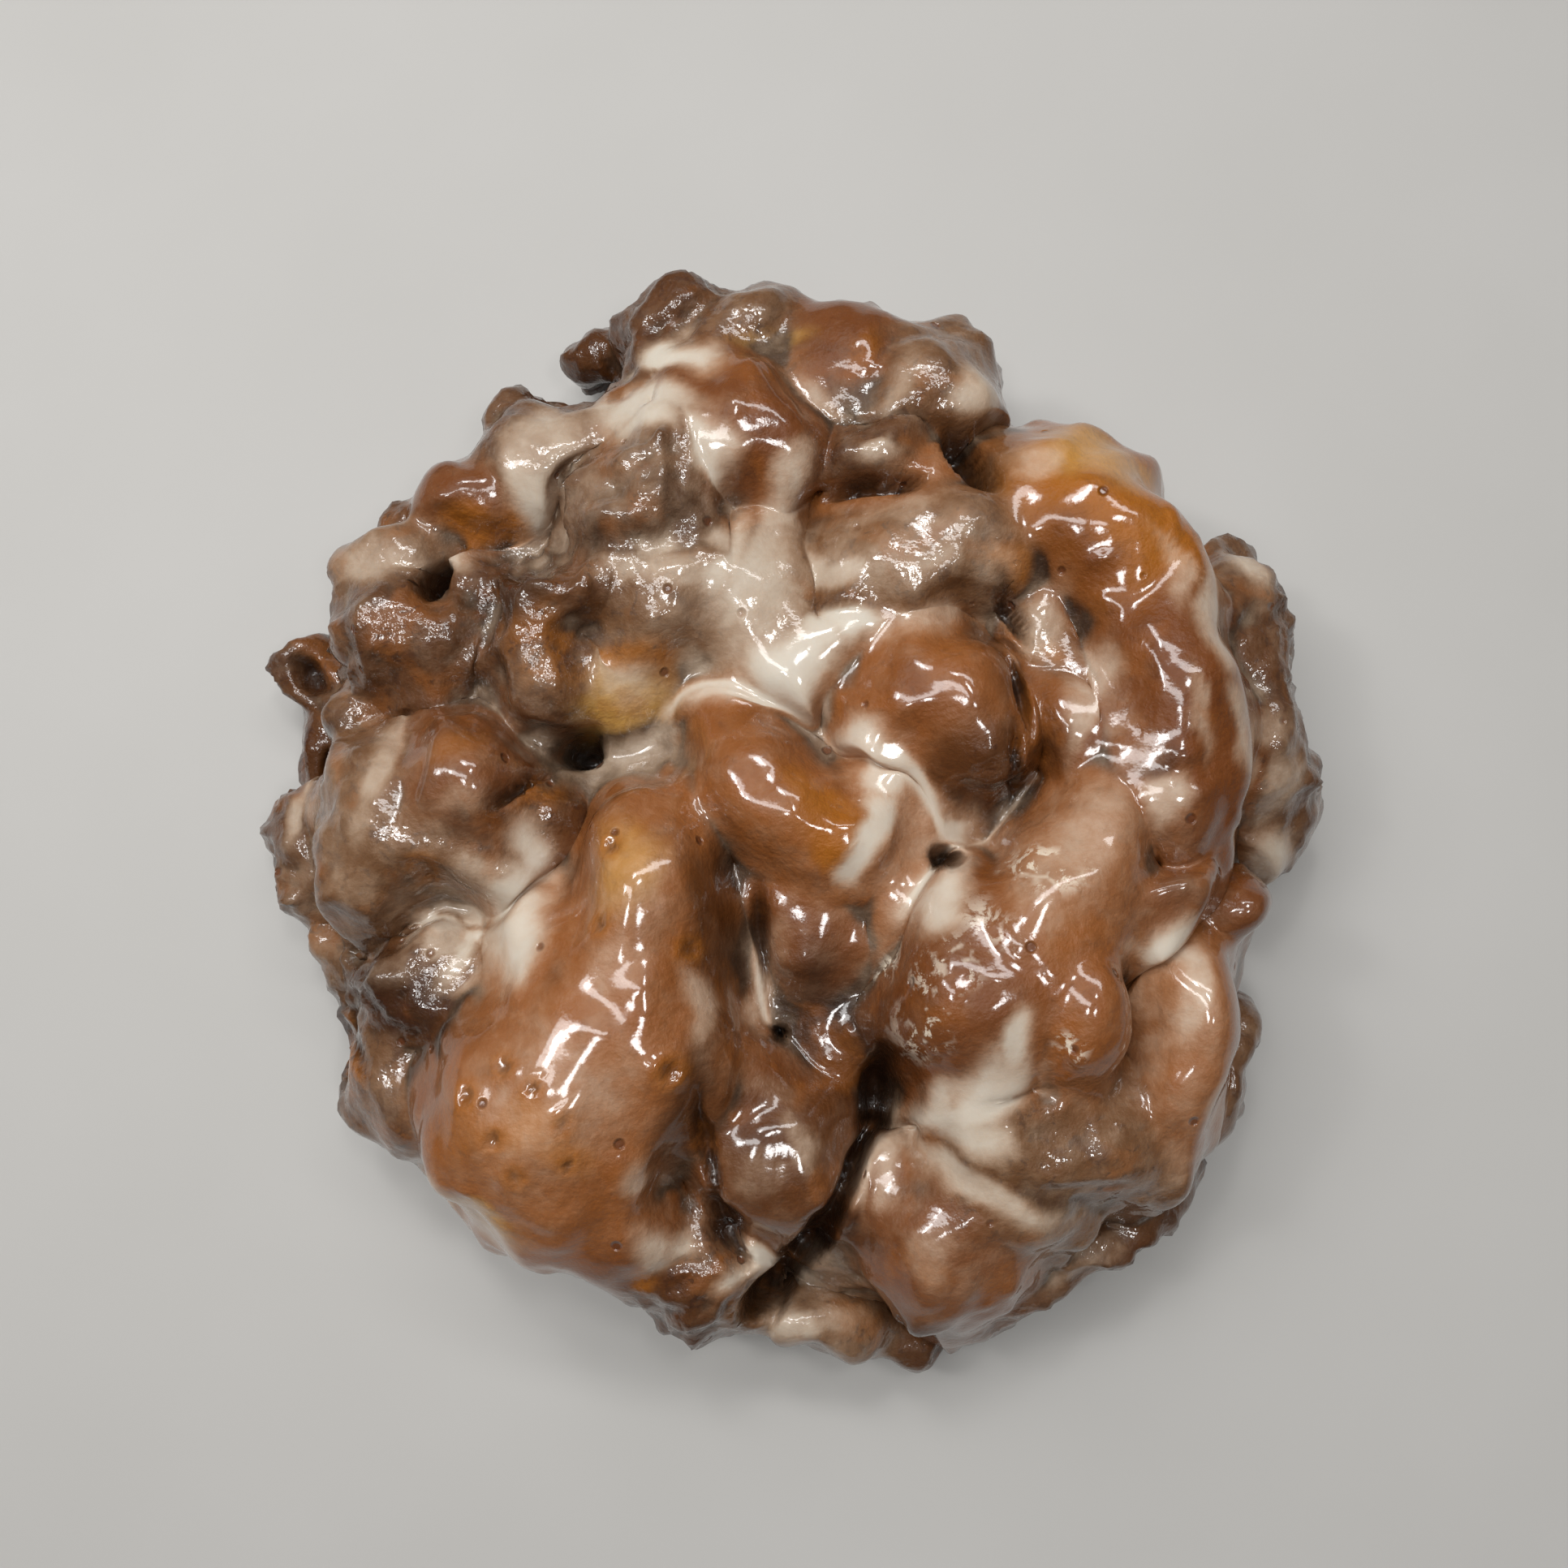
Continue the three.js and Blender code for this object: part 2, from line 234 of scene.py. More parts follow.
# Lobes: x, y, crest height, length, width, thickness, turn in degrees, crust tone, glaze from 0 to 1.
LOBES = {
    "core": (0, -2, 28, 122, 124, 34, 0, "grey", 0.8),
    "north_west_knob": (-16, 65.5, 33, 19, 17, 30, -87, "umber", 0.25),
    "dark_crag": (-28, 68, 18, 12, 8, 18, 45, "umber", 0.05),
    "north_fold": (-6, 63.5, 34, 17, 11, 28, 45, "grey", 0.6),
    "north_dome": (8, 62.5, 37, 17, 17, 32, -88, "russet", 0.1),
    "north_ridge": (18, 56, 36, 21, 9, 30, -81, "grey", 0.6),
    "north_ear": (22.5, 58, 31, 19, 10, 28, -84, "grey", 0.6),
    "ear_tip": (25, 57, 27, 12, 6, 20, -86, "umber", 0.3),
    "north_saddle": (13, 56, 33, 12, 11, 28, -24, "grey", 0.6),
    "north_lip": (11, 46, 39, 14, 8, 26, -7, "umber", 0.35),
    "north_heart": (-5, 50, 41, 21, 17, 34, -52, "russet", 0.12),
    "shelf": (-27, 52, 33, 31, 11, 28, 15, "umber", 0.6),
    "shelf_nub": (-38, 55, 27, 7, 5, 18, 46, "umber", 0.5),
    "shelf_web": (-36, 47, 31, 16, 10, 28, 22, "grey", 0.9),
    "north_west_dome": (-19, 39, 41, 21, 23, 34, -86, "umber", 0.75),
    "dome_tail": (-16, 25, 38, 19, 17, 30, -64, "grey", 0.9),
    "yellow_cheek": (-22, 15, 32, 12, 8, 26, 20, "gold", 0.2),
    "amber_knob": (-43, 41, 33, 16, 12, 28, -22, "russet", 0.2),
    "amber_nib": (-54, 42, 25, 8, 6, 18, 52, "umber", 0.3),
    "west_thorn": (-54, 35, 31, 18, 7, 20, 2, "grey", 0.75),
    "west_finger": (-30, 28, 41, 15, 8, 26, 25, "umber", 0.3),
    "west_cheek": (-32, 19, 38, 20, 14, 30, -50, "umber", 0.35),
    "cheek_root": (-41, 27, 31, 12, 9, 24, 42, "umber", 0.3),
    "west_shoulder": (-51, 22, 35, 24, 18, 30, -40, "umber", 0.35),
    "west_curl": (-69, 20, 15, 14, 10, 14, -45, "umber", 0.3),
    "west_flap": (-68, 10, 13, 12, 7, 12, 59, "umber", 0.05),
    "west_web": (-60, 13, 28, 12, 10, 26, -56, "grey", 0.5),
    "west_ball": (-41, 4, 41, 17, 17, 32, -2, "russet", 0.35),
    "west_wall": (-55, -3, 36, 28, 18, 30, -80, "grey", 0.55),
    "wall_inner": (-44, -5, 37, 20, 13, 28, -24, "grey", 0.6),
    "west_bud": (-67.5, -6, 20, 20, 11, 20, -78, "umber", 0.5),
    "amber_crumb": (-33, -1, 34, 11, 7, 22, 30, "umber", 0.15),
    "west_skirt": (-62, -20, 18, 11, 7, 18, -63, "grey", 0.7),
    "south_west_crag": (-47, -25, 33, 24, 12, 26, -17, "umber", 0.05),
    "south_west_rim": (-53, -33, 27, 17, 13, 26, -80, "grey", 0.4),
    "south_west_rough": (-58.5, -31, 17, 18, 7, 17, -72, "dark", 0.0),
    "south_west_web": (-50, -37, 27, 18, 10, 26, -77, "grey", 0.5),
    "south_west_lip": (-38.5, -53.5, 18, 26, 7, 18, -24, "amber", 0.4),
    "tongue_root": (-18.5, -16, 44, 41, 22, 38, 86, "rose", 0.35),
    "tongue_flank": (-31, -29, 41, 34, 18, 36, 60, "rose", 0.3),
    "tongue_belly": (-25.5, -36.5, 44, 46, 33, 42, 47, "rose", 0.4),
    "tongue_hip": (-38, -40, 36, 22, 16, 34, -66, "russet", 0.3),
    "tongue_heel": (-21.5, -52.5, 34, 18, 15, 33, 29, "russet", 0.3),
    "south_knob": (-14, -62, 31, 17, 13, 30, -35, "umber", 0.1),
    "knob_side": (-7, -64, 26, 11, 8, 26, -86, "grey", 0.6),
    "south_bud": (-27, -68, 13, 9, 8, 13, -50, "umber", 0.4),
    "south_web": (-11, -55, 28, 12, 10, 27, -63, "umber", 0.4),
    "south_egg": (-1, -45, 38, 23, 23, 36, -76, "russet", 0.4),
    "egg_shoulder": (-3, -34, 34, 13, 10, 28, -14, "russet", 0.35),
    "south_plum": (7, -29, 32, 18, 12, 28, -72, "russet", 0.1),
    "low_crescent": (7, -59, 16, 12, 7, 16, -30, "dark", 0.2),
    "crescent_foot": (4, -65, 13, 13, 6, 13, 9, "dark", 0.3),
    "south_foot": (5, -70, 20, 18, 9, 20, -9, "grey", 0.8),
    "white_spur": (12, -47, 27, 11, 5, 20, 42, "grey", 0.9),
    "south_east_dome": (23, -24, 46, 29, 21, 40, 57, "russet", 0.2),
    "wrist": (36.5, -7.5, 43, 30, 12, 34, 70, "rose", 0.5),
    "south_east_belly": (34, -41, 40, 28, 18, 36, 3, "grey", 0.55),
    "thumb": (35, -25, 47, 20, 12, 26, -86, "rose", 0.3),
    "east_bridge": (45, -12, 42, 18, 7, 26, 14, "russet", 0.4),
    "east_arm": (51, -30, 39, 31, 12, 34, 78, "rose", 0.5),
    "east_button": (58, -13, 35, 7, 8, 20, -20, "russet", 0.35),
    "amber_nook": (47, -23, 33, 12, 8, 26, -75, "rose", 0.7),
    "east_skirt": (60, -34, 22, 22, 7, 22, 71, "grey", 0.55),
    "east_web": (54, -12, 26, 16, 11, 26, -76, "grey", 0.7),
    "south_east_slope": (46, -46, 32, 16, 10, 30, 11, "grey", 0.6),
    "wedge_front": (20, -56, 35, 26, 22, 34, -60, "russet", 0.45),
    "wedge_side": (28, -51, 35, 23, 15, 34, -8, "grey", 0.65),
    "south_east_skirt": (40, -59, 21, 41, 9, 21, 32, "umber", 0.28),
    "wedge_toe": (17, -72, 12, 11, 6, 12, -27, "umber", 0.2),
    "north_east_arm": (41, 35, 42, 33, 21, 36, -53, "amber", 0.04),
    "east_arm_low": (49, 13, 43, 44, 20, 36, -79, "russet", 0.12),
    "east_flank": (62, 18, 28, 46, 17, 28, -78, "umber", 0.5),
    "flank_web": (60, 20, 25, 36, 10, 25, -77, "grey", 0.6),
    "flank_foot": (68, -3, 20, 15, 10, 20, 51, "grey", 0.7),
    "north_east_dark": (30, 41, 36, 16, 11, 30, -70, "grey", 0.45),
    "north_east_tip": (40, 45, 34, 22, 16, 32, -20, "rose", 0.25),
    "east_fold": (34, 22, 35, 17, 10, 25, -61, "grey", 0.9),
    "fold_low": (36, 10, 37, 16, 9, 26, -56, "russet", 0.35),
    "arm_bud": (47, -3, 40, 9, 7, 22, -55, "russet", 0.35),
    "heart_dome": (19, 13, 41.5, 26, 20, 36, -34, "rose", 0.25),
    "dome_spur": (24, 7, 40, 15, 10, 28, -42, "umber", 0.25),
    "centre_fold": (18, 32, 40, 34, 16, 32, 6, "grey", 0.45),
    "fold_back": (16, 41, 37, 24, 8, 26, 8, "rose", 0.4),
    "amber_wedge": (-0.5, 0, 41, 31, 18, 36, -43, "rose", 0.3),
    "wedge_ridge": (2.5, 1, 42, 25, 6, 28, -47, "rose", 0.3),
    "pink_wedge": (2, -15, 36, 21, 15, 32, -44, "russet", 0.15),
    "rose_strip": (12, -7, 35, 27, 11, 30, -80, "rose", 0.6),
    "channel_bed": (-4, 28, 34, 26, 14, 28, 82, "grey", 1.0),
    "centre_bed": (4, 20, 34, 22, 10, 28, 18, "grey", 1.0),
    "north_bed": (8, 57, 33, 40, 20, 30, -10, "grey", 0.6),
    "hand_back": (31.5, -16.5, 45, 32, 17, 38, 46, "rose", 0.35),
}

# Pits, pinholes and deep bare creases, pressed in and painted with shade: x, y, half length, half width,
# turn in degrees, depth.
PITS = {
    "deep_pit": (-27.5, 9, 3.2, 2.2, 20, 16),
    "pit_trail": (-34, 3, 4.0, 0.9, 38, 4),
    "west_pit": (-46.5, 31.5, 2.4, 1.5, 60, 10),
    "north_notch": (23.5, 46, 4.5, 1.8, -50, 10),
    "lip_crease": (11.5, 43, 5.5, 1.0, 2, 5),
    "arm_crease_top": (28.5, 25.5, 4.0, 0.9, -70, 4),
    "arm_crease_low": (29.5, 15, 4.5, 0.9, -80, 4),
    "heart_crease": (28.3, 6.5, 4.0, 0.9, -85, 3),
    "tongue_crease": (-3.2, -15.5, 6.0, 1.1, -80, 3),
    "egg_crease": (-9.6, -42, 7.0, 0.9, -83, 3),
    "canyon_top": (11, -36, 6.5, 2.0, 80, 8),
    "canyon_middle": (8, -45.5, 5.5, 1.5, 68, 10),
    "canyon_low": (2.5, -55, 6.0, 2.2, 52, 12),
    "canyon_foot": (-3, -62, 4.0, 2.0, 45, 12),
    "egg_foot": (-8.3, -51, 3.5, 1.8, -60, 5),
    "knob_crease": (-7, -55, 3.0, 1.2, -60, 6),
    "rough_crease": (-57, -29, 4.0, 1.0, -60, 2),
    "pinhole": (20, -5.5, 1.5, 1.4, 0, 8),
    "low_pinhole": (-0.8, -27.4, 1.1, 0.9, 30, 6),
    "curl_hollow": (-68.5, 22.5, 3.0, 1.8, -45, 5),
}

# Burst bubbles with a raised rim: x, y, half width.
PORES = [
    (-14, -31.5, 1.1),
    (-34, -31, 0.9),
    (-30, -33.5, 0.8),
    (-38.5, -34.5, 0.9),
    (-26.5, -37.5, 0.9),
    (-35, -39.5, 0.9),
    (-26, -42.5, 0.7),
    (-32.5, -44, 0.9),
    (-21.5, -4.5, 0.8),
    (-22.5, -14, 0.8),
    (-12, -17, 0.9),
    (-46, -7, 1.0),
]

# Pools of thick white glaze seen from above: x, y, half length, half width, turn in degrees, strength.
POOLS = {
    "shelf_band": (-33, 50, 5, 2.5, 15, 0.7),
    "shelf_east": (-18.5, 52.2, 9, 2, 4, 0.85),
    "shelf_end": (-10.5, 48, 3, 4, 20, 0.9),
    "dome_west": (-34, 44.5, 7, 3.2, -70, 0.85),
    "knob_pool": (-13.2, 60.8, 4.5, 3, 0, 1.0),
    "thorn_ridge": (-54, 34, 5, 1.5, -5, 0.45),
    "knob_foot": (-42.5, 34.5, 2.5, 2, 0, 0.6),
    "tail_strip": (-6.5, 16, 8, 2, 3, 0.9),
    "channel_top": (-1.5, 40.5, 6.5, 2.5, 60, 0.72),
    "channel_middle": (-3.5, 30, 11, 4.5, 80, 0.72),
    "channel_foot": (-0.5, 20, 6, 3.5, 18, 1.0),
    "channel_elbow": (4, 23, 4, 2.5, 10, 1.0),
    "dome_east": (-8, 34, 5.5, 2.2, 80, 0.65),
    "dome_south": (-15.5, 31, 8, 1.5, -3, 0.5),
    "shoulder_wash": (-52.5, 25.5, 4, 3, 0, 0.12),
    "shoulder_low": (-45.5, 18.5, 4, 2.5, -30, 0.12),
    "ball_west": (-52, 5.5, 5, 2, 75, 0.5),
    "wall_top": (-53.5, -1, 3, 1.5, 70, 0.3),
    "heart_foot": (4, 54.5, 3.5, 1.5, -20, 0.5),
    "lip_seam": (11, 47, 3, 1, 5, 0.6),
    "ear_wash": (23, 55.5, 4, 1.5, 80, 0.7),
    "ridge_wash": (15.5, 55, 4.5, 1.5, 80, 0.4),
    "fold_top": (13, 39.5, 6.5, 1, 10, 0.35),
    "fold_east": (21, 35, 4, 1.5, 8, 0.3),
    "fold_west": (6, 32.5, 3, 1.5, 0, 0.7),
    "fold_end": (26, 30.5, 2.5, 2.5, 0, 0.4),
    "seam_middle": (18, 25, 6, 1.5, 8, 0.5),
    "seam_west": (9, 24, 3, 2, 0, 1.0),
    "heart_side": (11.5, 8, 5, 2.5, -62, 0.9),
    "heart_low": (15.5, 3, 5.5, 3.2, -60, 0.95),
    "hole_north": (18.5, -1, 4.5, 3.5, -50, 0.95),
    "hole_south": (18.5, -9.5, 5, 3, 55, 0.95),
    "east_fold_pool": (33, 23.5, 5.5, 2, 70, 0.5),
    "arm_crease": (48, 30.5, 6, 1, -62, 0.5),
    "arm_streak": (50, 13, 5.5, 1, -78, 0.5),
    "arm_inner": (42, 14, 5, 1.5, 82, 0.25),
    "arm_patch": (39.3, 16.7, 3.5, 3, 60, 0.6),
    "arm_edge": (54.3, 25, 9, 1.5, -75, 0.65),
    "arm_edge_low": (57.9, 10.5, 6, 1.5, -80, 0.7),
    "arm_foot": (46.8, 1.3, 3, 2, 70, 0.6),
    "arm_low": (43.5, 6.5, 3.5, 1, 80, 0.25),
    "fold_low_pool": (37, 12.5, 4.5, 1, 78, 0.6),
    "tip_wash": (32.5, 46, 3.5, 1.5, 20, 0.6),
    "flank_top": (61.5, 34, 4.5, 1.5, -60, 0.6),
    "flank_middle": (62.5, 11.5, 3.5, 2, 0, 0.5),
    "flank_low": (65.5, 5.5, 3.5, 2, 70, 0.5),
    "flank_foot_pool": (65, -3, 3.5, 2.5, 20, 0.75),
    "cheek_patch": (-32.8, 17.3, 3, 2.5, -40, 0.25),
    "inner_wash": (-41.5, 0, 2.5, 2, 0, 0.3),
    "inner_strip": (-36.5, -5.5, 4.5, 2, 20, 0.5),
    "west_pool": (-34.5, -8.5, 6.5, 3.4, 75, 1.0),
    "west_pool_low": (-33.5, -16.5, 5.5, 3.4, 60, 1.0),
    "cross_down": (-44, -17.5, 5.5, 1.2, -30, 0.7),
    "cross_up": (-40.5, -18, 4.5, 1.5, 40, 0.9),
    "cross_stem": (-49, -15, 3, 1, 85, 0.7),
    "crag_seam": (-49, -19.5, 5.5, 1, 10, 0.3),
    "tongue_flank": (-12.5, -23, 5, 1, -75, 0.6),
    "tongue_side": (-10, -29.5, 4, 1, -80, 0.25),
    "plum_west": (-5, -22.5, 4.5, 2, 85, 0.65),
    "egg_crest": (-2.5, -34, 3.5, 1, -25, 0.3),
    "egg_low": (-3, -43.5, 3.5, 2.5, 0, 0.25),
    "egg_east": (1, -40, 3.5, 1, -75, 0.5),
    "south_top": (-15.5, -54, 3.5, 2.5, -10, 0.7),
    "south_side": (-7.5, -56.5, 2.5, 1.5, 80, 0.8),
    "lip_wash": (-37, -53.5, 5, 1.5, -25, 0.7),
    "lip_wash_west": (-45.5, -46.7, 4, 1.5, -40, 0.7),
    "cheek_haze": (-21.5, 17, 4, 2.5, 10, 0.5),
    "heel_wash": (-18, -44, 2.5, 1, 40, 0.6),
    "bud_wash": (-67.5, 0.5, 3.5, 1.5, 75, 0.6),
    "bud_side": (-57.5, -8, 4.5, 1, -75, 0.3),
    "wall_low": (-54.5, -9, 2.5, 2, 30, 0.3),
    "triangle_pool": (24.5, -33, 6, 4, 65, 1.0),
    "triangle_west": (21, -35.5, 4.5, 3.2, 20, 1.0),
    "triangle_foot": (22.5, -38.5, 5.5, 3, -15, 0.9),
    "triangle_top": (26.5, -26.5, 3, 1.2, 60, 0.9),
    "east_top": (46, -15, 5, 1.5, 0, 0.9),
    "east_streak": (49.5, -23, 6, 2, 82, 0.6),
    "east_inner": (47, -30, 3.5, 1.2, 82, 0.3),
    "east_rim": (54.5, -35.5, 4.5, 1.5, 75, 0.5),
    "side_wash": (30, -49, 4, 1.5, -30, 0.4),
    "side_lip": (24.3, -46, 8.5, 1.6, -19, 0.8),
    "front_wash": (17.5, -53.5, 3, 2.5, 60, 0.4),
    "spur_pool": (11, -47, 4, 2, 45, 0.6),
    "foot_pool": (0.5, -65.5, 3.5, 2, 0, 0.6),
    "foot_east": (7, -65, 3, 1.5, -10, 0.4),
    "skirt_line": (38.5, -58, 7, 1, 32, 0.3),
    "skirt_end": (47, -45, 4.5, 1, 42, 0.3),
    "strip_pool": (8.5, -4, 5, 1.5, 75, 0.9),
    "strip_top": (11.5, 2.5, 3, 1.5, 60, 0.9),
    "pink_west": (-1.5, -18, 3.5, 1.5, 80, 0.3),
    # Broad hazes named haze: partly a thin milky film, partly painted sheen, a soft reflection laid into
    # the colour.
    "tongue_haze_and_sheen": (-20, -13, 13, 5, 84, 0.32),
    "belly_haze_and_sheen": (-29, -36, 12, 9, 45, 0.36),
    "heart_haze_and_sheen": (16, 18, 5, 3, -30, 0.1),
    "wrist_haze_and_sheen": (34, -6, 11, 5, 60, 0.42),
    "pink_haze_and_sheen": (3, -14, 7, 5, -44, 0.1),
    "strip_wash": (12, 2, 8, 4, -70, 0.38),
    "fold_haze_and_sheen": (16, 34, 12, 4, 6, 0.4),
    "arm_tip_haze_and_sheen": (41, 46, 7, 4, -40, 0.22),
    "nook_haze_and_sheen": (45.5, -22, 4, 3, -75, 0.3),
    "east_haze_and_sheen": (50.5, -29, 10, 3, 80, 0.26),
}

# Patches that draw the crust to a tone and thin its glaze: x, y, half length, half width,
# turn in degrees, tone, strength. Some are the crust's own tone; the shade patches and the dark ones on
# the heart, the north-west dome, the tongue's slope, the feet and the fold are painted shade.
PATCHES = {
    "arm_gold": (37, 38, 4.5, 3.5, -40, "amber", 0.7),
    "arm_gold_east": (45, 35, 4, 2.5, -40, "amber", 0.9),
    "tip_gold": (40, 46, 7, 4, -25, "gold", 0.5),
    "wedge_amber": (2.5, 0, 6, 2.5, -50, "amber", 0.9),
    "wedge_glow": (5.5, -5, 3, 1.5, -50, "amber", 0.9),
    "north_gold": (-2, 63.5, 4.5, 1.5, 0, "gold", 0.4),
    "dome_gold": (10, 61.5, 3, 2, 60, "amber", 0.5),
    "knob_amber": (-42.5, 39.5, 3, 3, 0, "amber", 0.7),
    "facet_orange": (-37, 40, 2, 2, 0, "amber", 0.8),
    "tail_amber": (-19, 20.5, 5, 2, 0, "amber", 0.7),
    "cheek_gold": (-21, 15, 4.5, 2.5, 10, "gold", 0.5),
    "cheek_amber": (-31, 20.5, 6, 4, -50, "amber", 0.5),
    "pit_gold": (-26.5, 12.5, 2.5, 2, 40, "gold", 0.4),
    "crumb_gold": (-31.5, 0.5, 3, 2, 20, "amber", 0.5),
    "tongue_amber": (-20, -5, 5, 3, 80, "amber", 0.7),
    "tongue_light": (-20, -6.5, 6, 4, 80, "gold", 0.4),
    "belly_amber": (-32, -38, 4, 2.5, 30, "amber", 0.8),
    "belly_amber_low": (-27, -41.5, 4, 2, -20, "amber", 0.7),
    "hip_amber": (-40, -38, 4, 3, 60, "amber", 0.6),
    "arm_dark": (45, 5.5, 3, 1.5, 80, "dark", 0.5),
    "nook_amber": (45, -20, 4, 2.5, 0, "amber", 0.2),
    "lip_gold": (-38, -50.5, 6, 1.2, -25, "gold", 0.5),
    "rough_amber": (-57, -32, 3.5, 2, -75, "amber", 0.7),
    "front_red": (13.5, -56, 4.5, 1.5, 80, "russet", 0.7),
    "heart_red": (16.5, 15.5, 5, 2.5, -60, "russet", 0.6),
    # Painted shade on the heart's lower slope.
    "heart_shade": (20, 7.5, 3.5, 2.5, -40, "umber", 0.7),
    "knob_gold": (-17.5, -58.5, 2.5, 2, 70, "amber", 0.7),
    "ball_gold": (-42, 7.5, 3.5, 2.5, 0, "amber", 0.4),
    "north_red": (-4.5, 47.5, 5, 3.5, -60, "russet", 0.7),
    "flap_dark": (-61.5, 10.5, 4.5, 2, 60, "dark", 0.7),
    "arm_brown": (40, 30, 3.5, 2.5, 0, "russet", 0.6),
    # Painted shade that rounds the north-west dome.
    "nw_dome_shade": (-21, 35, 4, 2.5, -30, "dark", 0.5),
    "nw_dome_shade_east": (-14, 39, 5, 2, -60, "dark", 0.45),
    "nw_dome_shade_west": (-24.5, 36, 2, 2, 0, "dark", 0.5),
    "egg_dark": (-3, -39.5, 3, 2.5, 0, "umber", 0.5),
    "wedge_crest": (-7, 11, 4, 1.5, -10, "umber", 0.3),
    "crescent_dark": (6.5, -52.5, 4.5, 2, -20, "dark", 0.7),
    "spur_dark": (12, -40.5, 3.5, 3.5, 0, "dark", 0.85),
    "hip_russet": (-42, -38.5, 4, 4, 0, "russet", 0.4),
    # Painted shade on the tongue's east slope.
    "tongue_slope_shade": (-10, -17, 13, 2.8, 86, "umber", 0.85),
    "tongue_low_shade": (-11, -36, 9, 3.5, 82, "dark", 0.7),
    "cheek_dark": (-36.5, 28, 6, 3, 20, "dark", 0.6),
    # Painted shade under the west ball, the front and the side lip.
    "ball_foot_shade": (-39.5, -1.5, 5, 1.5, 10, "dark", 0.6),
    "front_foot_shade": (16, -66, 6, 2.5, -25, "dark", 0.7),
    "side_foot_shade": (33, -47, 5, 1.2, -35, "dark", 0.6),
    "arm_line": (38, 18.5, 4, 0.8, -70, "dark", 0.7),
    "dome_shade": (25, 6, 6, 4, -40, "umber", 0.6),
    "plum_dark": (6.5, -27.5, 10, 6, -72, "dark", 0.9),
    "egg_shade": (-1, -42, 11, 10, 0, "umber", 0.8),
    # Painted shade on the fold beside the arm.
    "fold_shade": (30, 14, 9, 4, -60, "umber", 0.7),
    "arm_shade": (36, 30, 10, 5, -60, "russet", 0.8),
    "crag_shade": (-49, -24, 10, 5, -17, "dark", 0.6),
    "shoulder_shade": (-50, 16, 8, 4, -40, "umber", 0.6),
    "fold_red": (16.5, 35, 6, 1.5, 10, "russet", 0.8),
    "fold_amber": (28.5, 30.5, 3, 2, -30, "amber", 0.6),
    "pocket_amber": (33.5, 20, 2, 1, -60, "amber", 0.5),
    "arm_base": (52, 10, 15, 5, -79, "russet", 0.85),
}

# Dry sugar crackle on bare domes: x, y, half length, half width, turn in degrees, strength.
CRACKLE = {
    "dome_fleck": (18, -19, 4, 3, 20, 1.0),
    "dome_crack": (16.5, -25, 5, 3, 60, 1.0),
    "wrist_fleck": (32, -8.5, 5, 2, 10, 1.0),
    "wrist_line": (23.5, -14.5, 4, 2, -10, 0.7),
    "thumb_tip": (33, -29, 2, 1.5, 0, 1.0),
    "thumb_line": (41, -24, 5, 1.2, -80, 0.9),
}


def linear(colour):
    """A display colour from 0 to 255 as light: each part over 255, to the power the display uses."""
    part = np.asarray(colour, float) / 255.0
    return np.where(part <= 0.04045, part / 12.92, ((part + 0.055) / 1.055) ** 2.4)


def towards(tone, name, share):
    """Each point's colour moved its share of the way to the named tone."""
    return tone + (linear(TONES[name]) - tone) * share[:, None]


def smooth_step(low, high, value):
    """0 below low, 1 above high, and an even S between them."""
    part = np.clip((value - low) / (high - low), 0.0, 1.0)
    return part * part * (3.0 - 2.0 * part)


def lattice_value(cell, seed):
    """A fixed number from -1 to 1 for each whole-number cell, from mixing its three indices."""
    mixed = (cell @ CELL_MIX + seed * SEED_MIX) & WORD
    mixed = ((mixed ^ (mixed >> 13)) * LAST_MIX) & WORD
    return ((mixed ^ (mixed >> 16)) & HALF_WORD) / (HALF_WORD / 2.0) - 1.0


def noise(points, seed):
    """Each point's eight surrounding cell values, mixed by how near the point is to each."""
    cell = np.floor(points).astype(np.int64)
    part = points - cell
    ease = part ** 3 * (part * (part * 6.0 - 15.0) + 10.0)
    total = np.zeros(len(points))
    for corner in np.ndindex(2, 2, 2):
        step = np.array(corner)
        share = np.prod(np.where(step, ease, 1.0 - ease), axis=1)
        total += share * lattice_value(cell + step, seed)
    return total


def sized_noise(points, size, seed):
    """Noise whose cells have the given size in millimetres."""
    return noise(points / size, seed)


def cloud(points, size, seed):
    """Noise of the given size in millimetres, plus layers each half as large and half as strong."""
    total = np.zeros(len(points))
    for layer in range(CLOUD_LAYERS):
        place = points / size * 2.0 ** layer + LAYER_SHIFT * layer
        total += noise(place, seed + layer) * 0.5 ** layer
    return total


def drift(points, size, seed):
    """A push along x, y and z, each from a cloud of its own."""
    return np.stack([cloud(points, size, seed + AXIS_SEEDS * axis) for axis in range(3)], axis=1)


def unit_ball(around, along):
    """Points on a ball over two angles, pushed out to a squared ball, and its four-cornered faces.

    On the squared ball the parts of each point, to the power of the fullness, add up to one.
    """
    turns = np.arange(around) * 2 * np.pi / around
    turn, climb = np.meshgrid(turns, np.linspace(0, np.pi, along + 1))
    ball = np.stack([np.cos(climb), np.sin(climb) * np.cos(turn), np.sin(climb) * np.sin(turn)], axis=-1)
    ball = ball.reshape(-1, 3)
    ball /= (np.abs(ball) ** FULLNESS).sum(axis=1, keepdims=True) ** (1.0 / FULLNESS)
    row, column = np.meshgrid(np.arange(along), np.arange(around), indexing="ij")
    after = (column + 1) % around
    start = row * around
    end = start + around
    corners = [start + column, start + after, end + after, end + column]
    return ball, np.stack(corners, axis=-1).reshape(-1, 4)


def flat_turn(turn):
    """Directions along, across and up as the rows of a turn about the upright."""
    angle = math.radians(turn)
    along = [math.cos(angle), math.sin(angle), 0.0]
    across = [-math.sin(angle), math.cos(angle), 0.0]
    return np.array([along, across, [0.0, 0.0, 1.0]])


